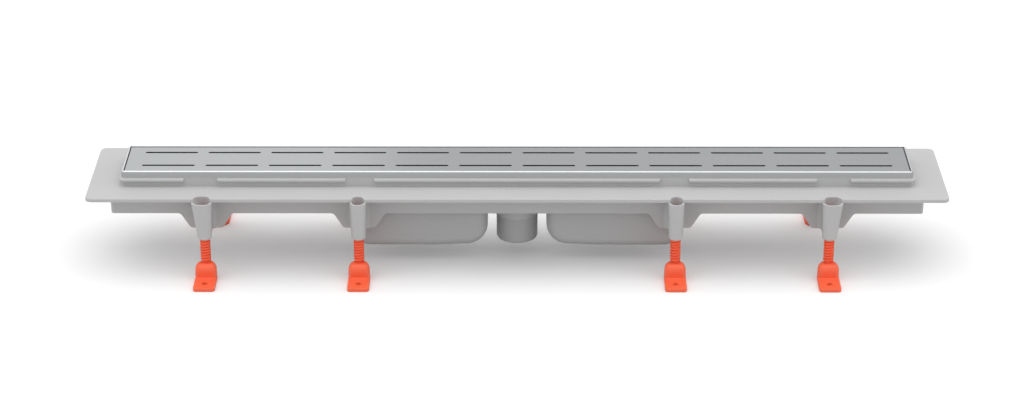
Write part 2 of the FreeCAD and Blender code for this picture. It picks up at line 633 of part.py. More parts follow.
def grate():
    """A folded steel tray, open below, with two rows of long slots."""
    body = new_body("grate")
    inset = "2 * (rim_land + grate_gap)"
    block = new_sketch(body, "grate_block", "XY", GRATE_BOTTOM)
    rectangle(block, f"rim_length - {inset}", f"rim_width - {inset}", "grate_corner")
    pad(body, block, "grate_fold")
    round_edges(body, "grate_edge", lambda edge: at_level(edge, GRATE_TOP))
    fold = f"{inset} + 2 * grate_sheet"
    inside = new_sketch(body, "grate_inside", "XY", GRATE_BOTTOM)
    rectangle(inside, f"rim_length - ({fold})", f"rim_width - ({fold})")
    cut(body, inside, "grate_fold - grate_sheet")
    slots = new_sketch(body, "slots", "XY", GRATE_TOP)
    first = "-(slot_count - 1) / 2 * slot_pitch"
    straight = "(slot_length - slot_width) / 2"
    for across in (-1, 1):
        oval(slots, f"{first} - {straight}", f"{first} + {straight}", f"{across} * slot_row",
             "slot_width / 2")
    slot = cut(body, slots, "grate_sheet", against=True)
    doc.recompute()
    row = body.newObject("PartDesign::LinearPattern", "slot_rows")
    row.Originals = [slot]
    row.Direction = (slots, ["H_Axis"])
    tie(row, Length="(slot_count - 1) * slot_pitch", Occurrences="slot_count")
    row.Refine = False
    body.Tip = row
    return body


def grate_pads():
    """Rubber pads on the ledge, under the grate's folded edges."""
    pads = []
    for across in (-1, 1):
        for number in range(int(value("pad_count"))):
            pad_box = doc.addObject("Part::Box", f"pad_{len(pads) + 1}")
            pad_y = "(rim_width / 2 - rim_land - pad_play - pad_width / 2)"
            pad_x = f"(({number} + 0.5 - pad_count / 2) * rim_length / pad_count)"
            tie(pad_box, Length="pad_length", Width="pad_width", Height=f"{GRATE_BOTTOM} - {LEDGE_TOP}",
                Placement__Base__x=f"{pad_x} - pad_length / 2",
                Placement__Base__y=f"{across} * {pad_y} - pad_width / 2",
                Placement__Base__z=LEDGE_TOP)
            pads.append(pad_box)
    group = doc.addObject("Part::Compound", "grate_pads")
    group.Label = "grate_pads"
    group.Links = pads
    return group


# ---- traps and outlet ----

def trap_bowl(label, along):
    """A deep bowl with a curved heel towards the outlet, and a weir in its end wall."""
    body = new_body(label)
    low = "stand_height - bowl_depth"
    profile = new_sketch(body, f"{label}_profile", "XZ")
    corners = [("bowl_inner", ROOF), ("bowl_inner", "stand_height - bowl_heel", "bowl_heel_round"),
               ("bowl_flat_x", low), ("bowl_outer", low, "bowl_toe_round"), ("bowl_outer", ROOF)]
    if along < 0:
        corners = [(f"-{corner[0]}", *corner[1:]) for corner in corners[::-1]]
    outline(profile, corners)
    pad(body, profile, "bowl_width", symmetric=True)
    side = value("bowl_width") / 2
    top = value(ROOF)
    round_edges(body, "bowl_edge", lambda edge: abs(abs(edge.CenterOfMass.y) - side) < 0.01
                and edge.BoundBox.ZMin < top - 1)
    doc.recompute()
    base = body.Tip
    faces = [f"Face{index}" for index, face in enumerate(base.Shape.Faces, start=1)
             if face.BoundBox.ZMin > top - 0.01]
    shell = body.newObject("PartDesign::Thickness", f"{label}_shell")
    shell.Base = (base, faces)
    shell.Reversed = True
    shell.Join = 0
    tie(shell, Value="bowl_wall")
    body.Tip = shell
    weir = new_sketch(body, f"{label}_weir", "XY", WEIR)
    rectangle(weir, "4 * bowl_wall", "duct_width", x=f"{along} * bowl_inner")
    cut(body, weir, f"{ROOF} - {WEIR}")
    return body


def outlet_spigot():
    """A plain pipe end that the waste pipe's socket goes over."""
    body = new_body("outlet_spigot")
    half = new_sketch(body, "spigot_half", "XZ")
    end = "(stand_height - spigot_depth)"
    outline(half, [("spigot_outside / 2 - spigot_wall", end), ("spigot_outside / 2 - spigot_edge", end),
                   ("spigot_outside / 2", f"{end} + 2 * spigot_edge"), ("spigot_outside / 2", COLLAR_BOTTOM),
                   ("spigot_outside / 2 + spigot_step", COLLAR_BOTTOM),
                   ("spigot_outside / 2 + spigot_step", DUCT_UNDER),
                   ("spigot_outside / 2 - spigot_wall", DUCT_UNDER)])
    turn = body.newObject("PartDesign::Revolution", "spigot_turned")
    turn.Profile = half
    turn.ReferenceAxis = (half, ["V_Axis"])
    turn.Angle = 360
    body.Tip = turn
    return body


def trap_insert(label, along):
    """A plate that lies in its seat, a dip tube that reaches below the weir, and a bar to lift it by."""
    body = new_body(label)
    x = f"{along} * insert_x"
    plate = new_sketch(body, f"{label}_plate", "XY", SEAT)
    rectangle(plate, "insert_length + 2 * insert_lip", "insert_width + 2 * insert_lip",
              "insert_round + insert_lip", x=x)
    pad(body, plate, "insert_plate")
    tube = new_sketch(body, f"{label}_tube", "XY", "stand_height - insert_depth")
    rectangle(tube, "insert_length", "insert_width", "insert_round", x=x)
    pad(body, tube, f"{SEAT} - (stand_height - insert_depth)")
    inside = new_sketch(body, f"{label}_inside", "XY", "stand_height - insert_depth")
    rectangle(inside, "insert_length - 2 * insert_wall", "insert_width - 2 * insert_wall",
              "insert_round - insert_wall", x=x)
    cut(body, inside, f"{TROUGH_LOW} - (stand_height - insert_depth)")
    grip = new_sketch(body, f"{label}_grip", "XY", TROUGH_LOW)
    rectangle(grip, "grip_width", "insert_width - insert_wall", x=x)
    pad(body, grip, "grip_height", against=True)
    return body


def insert_seal(label, along):
    """A rubber ring between a dip tube and the opening in the trough floor."""
    body = new_body(label)
    ring = new_sketch(body, f"{label}_ring", "XY", ROOF)
    for reach in ("seal_play + seal_thick", "seal_play"):
        rectangle(ring, f"insert_length + 2 * ({reach})", f"insert_width + 2 * ({reach})",
                  f"insert_round + {reach}", x=f"{along} * insert_x")
    pad(body, ring, f"{SEAT} - {ROOF}")
    return body


# ---- legs ----

def place(body, leg):
    """Stands a leg's piece on its axis, with its front turned away from the channel."""
    name, along, across, oval_mouth = leg
    tie(body, Placement__Base__x=leg_x(along, oval_mouth), Placement__Base__y=leg_y(across),
        Placement__Rotation__Angle="180" if across > 0 else "0")


def foot(leg):
    """A plate that points outwards, with a screw hole, and a rounded boss that holds the leg screw."""
    label = f"foot_{leg[0]}"
    body = new_body(label)
    plate = new_sketch(body, f"{label}_plate", "XY")
    half = "foot_width / 2"
    outline(plate, [(f"-{half}", "-foot_reach", "foot_corner"), (half, "-foot_reach", "foot_corner"),
                    (half, "foot_heel", "heel_round"), (f"-{half}", "foot_heel", "heel_round")])
    pad(body, plate, "foot_thick")
    chamfer_edges(body, "foot_edge", lambda edge: at_level(edge, "foot_thick"))
    boss = new_sketch(body, f"{label}_boss", "XY", "foot_thick")
    side = "(foot_width / 2 - foot_edge)"
    outline(boss, [(f"-{side}", "-boss_front", "boss_round"), (side, "-boss_front", "boss_round"),
                   (side, "foot_heel - foot_edge", "heel_round - foot_edge"),
                   (f"-{side}", "foot_heel - foot_edge", "heel_round - foot_edge")])
    pad(body, boss, "boss_height - foot_thick", taper="-boss_draft")
    round_edges(body, "boss_crown", lambda edge: at_level(edge, "boss_height"))
    bore = new_sketch(body, f"{label}_bore", "XY", "boss_height")
    circle(bore, "0", "0", "journal_outside / 2 + journal_play")
    cut(body, bore, "journal_length + journal_end", against=True)
    fixing = new_sketch(body, f"{label}_fixing", "XY", "foot_thick")
    circle(fixing, "0", "-fixing_reach", "fixing_hole / 2")
    cut(body, fixing, "foot_thick", against=True)
    place(body, leg)
    return body


def leg_screw(leg):
    """A coarse leg screw: threaded above, smooth where it turns in its foot, slotted on top."""
    label = f"leg_screw_{leg[0]}"
    body = new_body(label)
    top = "(stand_height - screw_drop)"
    low = "(boss_height - journal_length)"
    half = new_sketch(body, f"{label}_half", "XZ")
    outline(half, [("0", low), ("journal_outside / 2", low), ("journal_outside / 2", "boss_height"),
                   ("screw_outside / 2", "boss_height"), ("screw_outside / 2", f"{top} - screw_edge"),
                   ("screw_outside / 2 - screw_edge", top), ("0", top)])
    turn = body.newObject("PartDesign::Revolution", f"{label}_turned")
    turn.Profile = half
    turn.ReferenceAxis = (half, ["V_Axis"])
    turn.Angle = 360
    body.Tip = turn
    drive = new_sketch(body, f"{label}_drive", "XY", top)
    rectangle(drive, "screw_outside", "drive_width")
    cut(body, drive, "drive_depth", against=True)
    place(body, leg)
    return body


# ---- the whole model ----

def main():
    pieces = [channel_body(), rim_frame(), grate(), grate_pads()]
    for side, along in (("left", -1), ("right", 1)):
        pieces.append(trap_bowl(f"trap_bowl_{side}", along))
        pieces.append(trap_insert(f"trap_insert_{side}", along))
        pieces.append(insert_seal(f"insert_seal_{side}", along))
    pieces.append(outlet_spigot())
    for leg in LEGS:
        pieces.append(foot(leg))
        pieces.append(leg_screw(leg))
    doc.recompute()
    check(pieces)
    os.makedirs("parts", exist_ok=True)
    for piece in pieces:
        piece.Shape.exportStep(f"parts/{piece.Label}.step")


def check(pieces):
    """Stops if an object failed, a cut removed nothing, or a sub-part isn't sound."""
    failed = [item.Label for item in doc.Objects if {"Invalid", "Error"} & set(item.State)]
    if failed:
        raise RuntimeError(f"failed: {failed}")
    for item in doc.Objects:
        base = getattr(item, "BaseFeature", None)
        if item.TypeId == "PartDesign::Pocket" and item.Shape.Volume > base.Shape.Volume - 0.01:
            raise RuntimeError(f"{item.Label} cuts nothing")
    for piece in pieces:
        shape = piece.Shape
        if shape.isNull() or not shape.isValid():
            raise RuntimeError(f"{piece.Label} is not a sound shape")
        print(f"{piece.Label}: {len(shape.Solids)} solid(s), {shape.Volume:.0f} cubic mm")


main()
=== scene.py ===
"""Dresses a linear shower channel drain: leg threads, moulded feet, trap bowls, finishes and a studio."""
import json
import math

import bmesh
import bpy
from mathutils import Matrix, Vector

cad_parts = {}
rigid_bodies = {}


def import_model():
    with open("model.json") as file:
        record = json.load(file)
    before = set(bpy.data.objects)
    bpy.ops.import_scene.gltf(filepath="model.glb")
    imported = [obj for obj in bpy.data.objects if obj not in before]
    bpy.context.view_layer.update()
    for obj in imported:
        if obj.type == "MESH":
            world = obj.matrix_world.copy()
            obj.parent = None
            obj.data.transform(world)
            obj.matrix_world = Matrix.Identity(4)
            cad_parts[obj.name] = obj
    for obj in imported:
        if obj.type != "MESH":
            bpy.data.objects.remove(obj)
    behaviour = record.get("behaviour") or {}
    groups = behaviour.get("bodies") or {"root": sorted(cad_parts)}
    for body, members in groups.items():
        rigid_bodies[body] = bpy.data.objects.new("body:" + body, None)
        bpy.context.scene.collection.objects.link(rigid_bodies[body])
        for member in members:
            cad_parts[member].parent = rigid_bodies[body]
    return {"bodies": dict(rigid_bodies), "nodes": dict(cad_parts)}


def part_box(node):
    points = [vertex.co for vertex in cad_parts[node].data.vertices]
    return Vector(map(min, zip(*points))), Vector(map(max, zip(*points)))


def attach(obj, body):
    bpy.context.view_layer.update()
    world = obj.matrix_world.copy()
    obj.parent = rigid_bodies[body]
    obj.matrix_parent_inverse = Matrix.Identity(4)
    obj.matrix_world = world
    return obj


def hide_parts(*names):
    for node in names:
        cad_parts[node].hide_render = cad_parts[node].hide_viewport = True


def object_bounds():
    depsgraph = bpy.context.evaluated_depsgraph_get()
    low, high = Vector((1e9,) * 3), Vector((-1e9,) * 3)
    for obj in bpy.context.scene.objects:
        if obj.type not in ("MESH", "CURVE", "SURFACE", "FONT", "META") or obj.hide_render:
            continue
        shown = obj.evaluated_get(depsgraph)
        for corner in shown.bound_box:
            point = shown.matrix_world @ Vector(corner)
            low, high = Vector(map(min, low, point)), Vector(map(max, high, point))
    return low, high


bl_info = {
    "name": "Shower channel drain",
    "version": (1, 0, 0),
    "blender": (4, 5, 0),
    "location": "3D View > Sidebar > Drain",
    "description": "Leg threads, moulded feet, trap bowls, finishes and a studio for a shower channel drain",
    "category": "Object",
}

MM = 0.001

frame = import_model()
CAD_LOW, CAD_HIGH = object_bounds()

SCREW = "leg_screw_"
FOOT = "foot_"
LEG_NAMES = sorted(body[len(SCREW):] for body in frame["bodies"] if body.startswith(SCREW))


def leg_axis(name):
    """Where a leg's axis stands on the floor."""
    low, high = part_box(SCREW + name)
    return (low + high) / 2 * Vector((1, 1, 0))


SCREW_LOW, SCREW_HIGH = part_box(SCREW + LEG_NAMES[0])
FOOT_LOW, FOOT_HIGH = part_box(FOOT + LEG_NAMES[0])


# ---- details that no setting changes ----

# Leg screws
THREAD_SIDES = 32                      # points round a screw
THREAD_STEP = 0.25 * MM                # height of one row of points
THREAD_RUN_IN = (0.6 * MM, 2.0 * MM)   # above the foot, from where the thread starts to where it is full
SHANK_SHARE = 0.25                     # plain shank below the thread: share of the way from root to crest
SHOULDER_SLACK = 0.01 * MM             # keeps the row of points at the shoulder on its upper side
SCREW_CHAMFER = 1.0 * MM               # at the top of a screw
BLADE_REACH = 2.2                      # length of the slot's cutter, in screw radii

# Feet
BOSS_DRAFT = math.radians(1.5)
FLOOR_EDGE = 0.3 * MM                  # rounded edge where a plate meets the floor
FLOOR_EDGE_BEND = 0.3                  # share of that edge at the middle of its curve
FOOT_BENDS = 6                         # steps in each rounded edge of a foot
HOLE_SIDES = 40                        # points round a hole in a foot
JOURNAL_PLAY = 0.05 * MM               # running gap round a screw's journal
JOURNAL_END = 0.3 * MM                 # gap under a screw's end
FOOT_BEVEL = 0.35 * MM                 # softened edges of a foot
FOOT_BEVEL_ANGLE = math.radians(50)    # edges sharper than this are softened

# Trap bowls
BOWL_BENDS = 8                         # steps in a bowl's long edges
WEIR_REACH = 20 * MM                   # the notch's cutter, through a bowl's end wall

# Angles above which an edge stays sharp, in degrees
LEG_CREASE = 40
BOWL_CREASE = 35

# Finishes
BODY_ROUGHNESS = 0.46
LEG_ROUGHNESS = 0.38
CLOUD_SCALE = 18.0                     # slow clouds in a moulding, per metre
BRUSH_FINE = (6, 1100, 1100)           # brush lines per metre, along and across the channel
BRUSH_BROAD = (2, 90, 90)
RUBBER_SPECKS = 900.0                  # specks per metre
HIGHLIGHT_AND_POLISH_START = 0.9 * MM                # below the rim's top, where the satin band ends and the polished edge with its painted highlight begins
HIGHLIGHT_AND_POLISH_FULL = 0.3 * MM                 # below the rim's top, where the polish and its painted highlight are full
POLISH_GAIN = 0.16                     # how much smoother the polish is than the band

# Studio
FLOOR_HALF = 9.0                       # middle of the floor to its edge, in metres
FLOOR_DROP = 0.1 * MM                  # gap between the feet and the floor
LAMP_TILT = math.radians(4)
SENSOR_WIDTH = 36.0                    # in millimetres
SKY_SPLIT = (-0.066, -0.034)           # bearing over which the brighter left side fades out
SKY_RISE = (0.02, 0.26)                # heights over which the bright band in the steel comes up
SKY_FALL = (0.5, 0.7)                  # and over which it dies away
SKY_DIM = 0.35                         # strength outside that band, as a share


# ---- sizes and colours ----

class DrainLegSizes(bpy.types.PropertyGroup):
    thread_pitch: bpy.props.FloatProperty(
        name="Thread pitch", description="Rise of the leg thread in one turn",
        default=3.6 * MM, unit="LENGTH")
    thread_depth: bpy.props.FloatProperty(
        name="Thread depth", description="Crest to root of the leg thread",
        default=2.3 * MM, unit="LENGTH")
    thread_crest: bpy.props.FloatProperty(
        name="Crest share", description="Share of the pitch that the crest takes",
        default=0.50, subtype="FACTOR")
    thread_flank: bpy.props.FloatProperty(
        name="Flank share", description="Share of the pitch that each flank takes",
        default=0.09, subtype="FACTOR")
    journal: bpy.props.FloatProperty(
        name="Journal radius", description="Smooth lower end of a leg screw, inside the foot",
        default=4.95 * MM, unit="LENGTH")
    drive_width: bpy.props.FloatProperty(
        name="Drive slot width", description="Screwdriver slot in the top of a leg screw",
        default=2.0 * MM, unit="LENGTH")
    drive_depth: bpy.props.FloatProperty(
        name="Drive slot depth", description="Depth of the screwdriver slot",
        default=3.0 * MM, unit="LENGTH")
    plate_thick: bpy.props.FloatProperty(
        name="Plate thickness", description="Thickness of a foot's plate",
        default=4.6 * MM, unit="LENGTH")
    plate_corner: bpy.props.FloatProperty(
        name="Plate corner", description="Outer corners of a foot's plate",
        default=4.0 * MM, unit="LENGTH")
    plate_edge: bpy.props.FloatProperty(
        name="Plate edge", description="Rounded top edge of a foot's plate",
        default=0.8 * MM, unit="LENGTH")
    heel_round: bpy.props.FloatProperty(
        name="Heel corner", description="Inner corners of a foot's plate",
        default=12.4 * MM, unit="LENGTH")
    boss_front: bpy.props.FloatProperty(
        name="Boss front", description="Leg axis to the outer face of a boss, at the plate",
        default=12.3 * MM, unit="LENGTH")
    boss_corner: bpy.props.FloatProperty(
        name="Boss corner", description="Upright outer corners of a boss",
        default=6.0 * MM, unit="LENGTH")
    crown_rise: bpy.props.FloatProperty(
        name="Crown rise", description="Height of a boss's rounded top",
        default=8.0 * MM, unit="LENGTH")
    crown_side: bpy.props.FloatProperty(
        name="Crown side", description="How far a boss's rounded top draws in at its sides",
        default=5.2 * MM, unit="LENGTH")
    crown_front: bpy.props.FloatProperty(
        name="Crown front", description="How far a boss's rounded top draws in at its outer face",
        default=6.4 * MM, unit="LENGTH")
    boss_root: bpy.props.FloatProperty(
        name="Boss root", description="Hollow corner between a boss and its plate",
        default=2.2 * MM, unit="LENGTH")
    fixing_radius: bpy.props.FloatProperty(
        name="Fixing hole", description="Radius of the hole for a floor screw",
        default=3.4 * MM, unit="LENGTH")
    fixing_reach: bpy.props.FloatProperty(
        name="Fixing reach", description="Leg axis to the fixing hole",
        default=26.0 * MM, unit="LENGTH")


class DrainTrapSizes(bpy.types.PropertyGroup):
    skin: bpy.props.FloatProperty(
        name="Skin", description="How far a bowl stands outside its packed solid, to close over its collar",
        default=2.1 * MM, unit="LENGTH")
    wall: bpy.props.FloatProperty(
        name="Wall", description="Wall of a bowl, under the skin",
        default=2.5 * MM, unit="LENGTH")
    long_edge: bpy.props.FloatProperty(
        name="Long edge", description="Rounded long edges and upright corners of a bowl",
        default=13.0 * MM, unit="LENGTH")
    heel_lift: bpy.props.FloatProperty(
        name="Heel lift", description="Rise of a bowl's floor towards the outlet",
        default=2.5 * MM, unit="LENGTH")
    heel_round: bpy.props.FloatProperty(
        name="Heel curve", description="Curve from a bowl's floor up to its end by the outlet",
        default=26.0 * MM, unit="LENGTH")
    toe_round: bpy.props.FloatProperty(
        name="Toe curve", description="Curve from a bowl's floor up to its far end",
        default=20.0 * MM, unit="LENGTH")
    level_from: bpy.props.FloatProperty(
        name="Level floor", description="Middle of the channel to where a bowl's floor becomes level",
        default=98.0 * MM, unit="LENGTH")
    weir_width: bpy.props.FloatProperty(
        name="Weir width", description="Notch in a bowl's end by the outlet",
        default=55.0 * MM, unit="LENGTH")
    weir_height: bpy.props.FloatProperty(
        name="Weir height", description="Floor to the lower edge of the notch",
        default=66.5 * MM, unit="LENGTH")


class DrainFinish(bpy.types.PropertyGroup):
    moulding: bpy.props.FloatVectorProperty(
        name="Body grey", description="Colour of the moulded body",
        default=(0.50, 0.50, 0.50), subtype="COLOR")
    # Darker than the body grey: painted shade for the low parts that sit under the flange, which are the trap
    # bowls, their inserts and the spigot.
    trap_moulding: bpy.props.FloatVectorProperty(
        name="Trap grey", description="Colour of the trap bowls, their inserts and the spigot",
        default=(0.445, 0.445, 0.445), subtype="COLOR")
    # The rim steel is lighter than the band below it: a painted highlight along the rim's top edge, on top of
    # its real polish.
    rim: bpy.props.FloatVectorProperty(
        name="Rim steel", description="Colour of the polished top edge of the rim",
        default=(0.82, 0.835, 0.85), subtype="COLOR")
    rim_band: bpy.props.FloatVectorProperty(
        name="Rim band", description="Colour of the satin band below the rim's top edge",
        default=(0.52, 0.535, 0.545), subtype="COLOR")
    grate: bpy.props.FloatVectorProperty(
        name="Grate steel", description="Colour of the brushed steel grate",
        default=(0.472, 0.485, 0.495), subtype="COLOR")
    legs: bpy.props.FloatVectorProperty(
        name="Orange moulding", description="Colour of the leg screws and feet",
        default=(0.98, 0.145, 0.06), subtype="COLOR")
    rubber: bpy.props.FloatVectorProperty(
        name="Rubber", description="Colour of the pads and the sealing rings",
        default=(0.018, 0.018, 0.019), subtype="COLOR")
    grain_size: bpy.props.FloatProperty(
        name="Mould grain", description="Spacing of the fine grain on moulded plastic",
        default=0.5 * MM, unit="LENGTH")
    edge_softness: bpy.props.FloatProperty(
        name="Edge softness", description="Radius that catches light along moulded edges",
        default=0.35 * MM, unit="LENGTH")


class DrainStudio(bpy.types.PropertyGroup):
    camera_distance: bpy.props.FloatProperty(
        name="Camera distance", description="Middle of the drain to the camera, along the floor",
        default=3.1114, unit="LENGTH")
    camera_height: bpy.props.FloatProperty(
        name="Camera height", description="Floor to the camera",
        default=1.4957, unit="LENGTH")
    camera_pitch: bpy.props.FloatProperty(
        name="Camera pitch", description="How far the camera looks down",
        default=math.radians(24.755), unit="ROTATION")
    camera_pan: bpy.props.FloatProperty(
        name="Camera pan", description="How far the camera turns to the left",
        default=math.radians(0.115), unit="ROTATION")
    lens: bpy.props.FloatProperty(
        name="Lens", description="Focal length on a 36 mm wide sensor, in millimetres",
        default=98.8)
    lamp: bpy.props.FloatProperty(
        name="Lamp", description="Strength of the soft lamp overhead",
        default=1.60)
    lamp_spread: bpy.props.FloatProperty(
        name="Lamp spread", description="Apparent width of the soft lamp",
        default=math.radians(80.0), unit="ROTATION")
    sky: bpy.props.FloatProperty(
        name="Sky", description="Strength of the light from all round",
        default=0.44)
    sky_ends: bpy.props.FloatProperty(
        name="Sky at the ends", description="Extra light from beyond the drain's two ends",
        default=1.14)
    sky_left: bpy.props.FloatProperty(
        name="Sky to the left", description="How bright the room to the left shows in the steel",
        default=1.0)
    sky_right: bpy.props.FloatProperty(
        name="Sky to the right", description="How bright the rest of the room shows in the steel",
        default=0.775)
    floor: bpy.props.FloatVectorProperty(
        name="Floor", description="Colour of the floor as it is seen",
        default=(0.95, 0.95, 0.95), subtype="COLOR")
    floor_glow: bpy.props.FloatProperty(
        name="Floor glow", description="Share of plain white in the floor as it is seen",
        default=0.12, subtype="FACTOR")
    floor_bounce: bpy.props.FloatVectorProperty(
        name="Floor bounce", description="Colour of the floor as it lights the drain",
        default=(0.66, 0.66, 0.66), subtype="COLOR")


# ---- node trees written as expressions ----

class Flow:
    """A node's output. Sums of flows add Math nodes, and node() adds any other node."""

    def __init__(self, tree, socket=None):
        self.tree = tree
        self.socket = socket

    def node(self, kind, inputs=None, output=0, **settings):
        """Adds a node: its settings first, then the values or flows of its sockets."""
        made = self.tree.nodes.new(kind)
        for name, setting in settings.items():
            setattr(made, name, setting)
        for name, value in (inputs or {}).items():
            self.feed(made.inputs[name], value)
        return Flow(self.tree, made.outputs[output])

    def other(self, output):
        """Another output of the same node."""
        return Flow(self.tree, self.socket.node.outputs[output])

    def feed(self, socket, value):
        if isinstance(value, Flow):
            self.tree.links.new(value.socket, socket)
        else:
            socket.default_value = value

    def maths(self, operation, *values):
        return self.node("ShaderNodeMath", dict(enumerate(values)), operation=operation)

    def __add__(self, other):
        return self.maths("ADD", self, other)

    def __radd__(self, other):
        return self.maths("ADD", other, self)

    def __sub__(self, other):
        return self.maths("SUBTRACT", self, other)

    def __rsub__(self, other):
        return self.maths("SUBTRACT", other, self)

    def __mul__(self, other):
        return self.maths("MULTIPLY", self, other)

    def __rmul__(self, other):
        return self.maths("MULTIPLY", other, self)

    def __truediv__(self, other):
        return self.maths("DIVIDE", self, other)

    def above(self, other):
        return self.maths("GREATER_THAN", self, other)

    def ramp(self, low, high):
        """0 at low, 1 at high, and smooth between."""
        return self.node("ShaderNodeMapRange", {"Value": self, "From Min": low, "From Max": high},
                         interpolation_type="SMOOTHSTEP", clamp=True)


def new_material(name):
    """An empty material, its first flow, and its output node's surface socket."""
    material = bpy.data.materials.new(name)
    material.use_nodes = True
    tree = material.node_tree
    tree.nodes.clear()
    output = tree.nodes.new("ShaderNodeOutputMaterial")
    return material, Flow(tree), output.inputs["Surface"]


def place(flow, stretch=(1, 1, 1)):
    """Object coordinates, stretched for a grain that runs along the piece."""
    coordinates = flow.node("ShaderNodeTexCoord", output="Object")
    return flow.node("ShaderNodeMapping", {"Vector": coordinates, "Scale": stretch})


def noise(flow, vector, scale, detail=2.0, roughness=0.5):
    return flow.node("ShaderNodeTexNoise", {"Vector": vector, "Scale": scale, "Detail": detail,
                                            "Roughness": roughness}, output="Fac")


def blend(flow, factor, first, second, blend_type="MIX"):
    """Two colours mixed by a factor, each of them a flow or three numbers."""
    pair = [colour if isinstance(colour, Flow) else (*colour, 1) for colour in (first, second)]
    mix = flow.tree.nodes.new("ShaderNodeMix")
    mix.data_type, mix.blend_type = "RGBA", blend_type
    for socket, value in zip((mix.inputs[0], mix.inputs[6], mix.inputs[7]), (factor, *pair)):
        flow.feed(socket, value)
    return Flow(flow.tree, mix.outputs[2])


def tinted(flow, colour, factor):
    """The colour made darker or lighter by a factor that changes over the surface."""
    grey = flow.node("ShaderNodeCombineColor", {"Red": factor, "Green": factor, "Blue": factor})
    return blend(flow, 1.0, colour, grey, "MULTIPLY")


def shade(flow, surface, inputs):
    flow.feed(surface, flow.node("ShaderNodeBsdfPrincipled", inputs))


def softened(flow, finish):
    """A normal that rounds every edge a little, so that it catches light."""
    return flow.node("ShaderNodeBevel", {"Radius": finish.edge_softness}, samples=4)


# ---- finishes ----

def moulded_plastic(name, colour, roughness, finish):
    """Satin polypropylene: fine spark-eroded grain, slow flow clouds, and edges that catch the light."""
    material, flow, surface = new_material(name)
    here = place(flow)
    grain = noise(flow, here, 1 / finish.grain_size, detail=1.0)
    clouds = noise(flow, here, CLOUD_SCALE, detail=3.0)
    bump = flow.node("ShaderNodeBump", {"Height": grain, "Normal": softened(flow, finish), "Strength": 0.12,
                                        "Distance": 0.05 * MM})
    shade(flow, surface, {
        "Base Color": tinted(flow, colour, 0.965 + clouds * 0.05 + grain * 0.02),
        "Roughness": roughness - 0.05 + clouds * 0.1,
        "Normal": bump,
        "IOR": 1.49})
    return material


def brush_lines(flow):
    """Brush lines along the channel, fine and broad together."""
    fine = noise(flow, place(flow, BRUSH_FINE), 1.0, detail=3.0, roughness=0.6)
    broad = noise(flow, place(flow, BRUSH_BROAD), 1.0)
    return fine * 0.7 + broad * 0.3


def brushed_grate(name, finish):
    """Stainless sheet brushed along the channel."""
    material, flow, surface = new_material(name)
    lines = brush_lines(flow)
    bump = flow.node("ShaderNodeBump", {"Height": lines, "Normal": softened(flow, finish), "Strength": 0.2,
                                        "Distance": 0.04 * MM})
    shade(flow, surface, {
        "Base Color": tinted(flow, finish.grate, 0.94 + lines * 0.12),
        "Metallic": 1.0,
        "Roughness": 0.07 + lines * 0.08,
        "Normal": bump})
    return material


def rim_steel(name, finish):
    """Stainless sheet with a polished top edge over a satin band. The top edge also gets a lighter colour
    than the band: a painted highlight.
    """
    material, flow, surface = new_material(name)
    lines = brush_lines(flow)
    height = flow.node("ShaderNodeSeparateXYZ", {"Vector": place(flow)}, output="Z")
    # Mask of the rim's polished top edge, which is both smoother and painted lighter: a painted highlight.
    polish_and_highlight = height.ramp(CAD_HIGH.z - HIGHLIGHT_AND_POLISH_START, CAD_HIGH.z - HIGHLIGHT_AND_POLISH_FULL)
    colour = blend(flow, polish_and_highlight, finish.rim_band, finish.rim)
    bump = flow.node("ShaderNodeBump", {"Height": lines, "Strength": 0.08, "Distance": 0.04 * MM})
    shade(flow, surface, {
        "Base Color": tinted(flow, colour, 0.97 + lines * 0.06),
        "Metallic": 1.0,
        "Roughness": 0.36 - polish_and_highlight * POLISH_GAIN + lines * 0.05,
        "Normal": bump})
    return material


def soft_rubber(name, colour):
    """Dull black rubber with fine specks."""
    material, flow, surface = new_material(name)
    specks = noise(flow, place(flow), RUBBER_SPECKS)
    bump = flow.node("ShaderNodeBump", {"Height": specks, "Strength": 0.2, "Distance": 0.05 * MM})
    shade(flow, surface, {
        "Base Color": tinted(flow, colour, 0.85 + specks * 0.3),
        "Roughness": 0.72 + specks * 0.1,
        "Normal": bump})
    return material


def finish_nodes(material, nodes):
    """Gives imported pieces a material."""
    for name in nodes:
        node = frame["nodes"][name]
        node.data.materials.clear()
        node.data.materials.append(material)


# ---- mesh helpers ----

def quarter_turn(steps):
    """Angles from 0 to 90 degrees in equal steps."""
    return [math.radians(90 * step / steps) for step in range(steps + 1)]


def rounded_ring(front, back, half, toe, heel, inset, z, steps=9):
    """A level outline about a leg's axis, from -front to back and half to each side, drawn in by inset."""
    front, back, half, toe, heel = (size - inset for size in (front, back, half, toe, heel))
    ring = []
    corners = ((half - heel, back - heel, heel, 0), (heel - half, back - heel, heel, 90),
               (toe - half, toe - front, toe, 180), (half - toe, toe - front, toe, 270))
    for x, y, radius, start in corners:
        for step in range(steps + 1):
            angle = math.radians(start + 90 * step / steps)
            ring.append(Vector((x + radius * math.cos(angle), y + radius * math.sin(angle), z)))
    return ring


def loft(rings):
    """A closed mesh through rings of as many points, with its two ends filled."""
    shell = bmesh.new()
    rows = [[shell.verts.new(point) for point in ring] for ring in rings]
    for lower, upper in zip(rows, rows[1:]):
        for index in range(len(lower)):
            after = (index + 1) % len(lower)
            shell.faces.new((lower[index], lower[after], upper[after], upper[index]))
    shell.faces.new(rows[0][::-1])
    shell.faces.new(rows[-1])
    return shell


def to_object(name, shell, material):
    mesh = bpy.data.meshes.new(name)
    shell.to_mesh(mesh)
    shell.free()
    mesh.materials.append(material)
    piece = bpy.data.objects.new(name, mesh)
    bpy.context.scene.collection.objects.link(piece)
    return piece


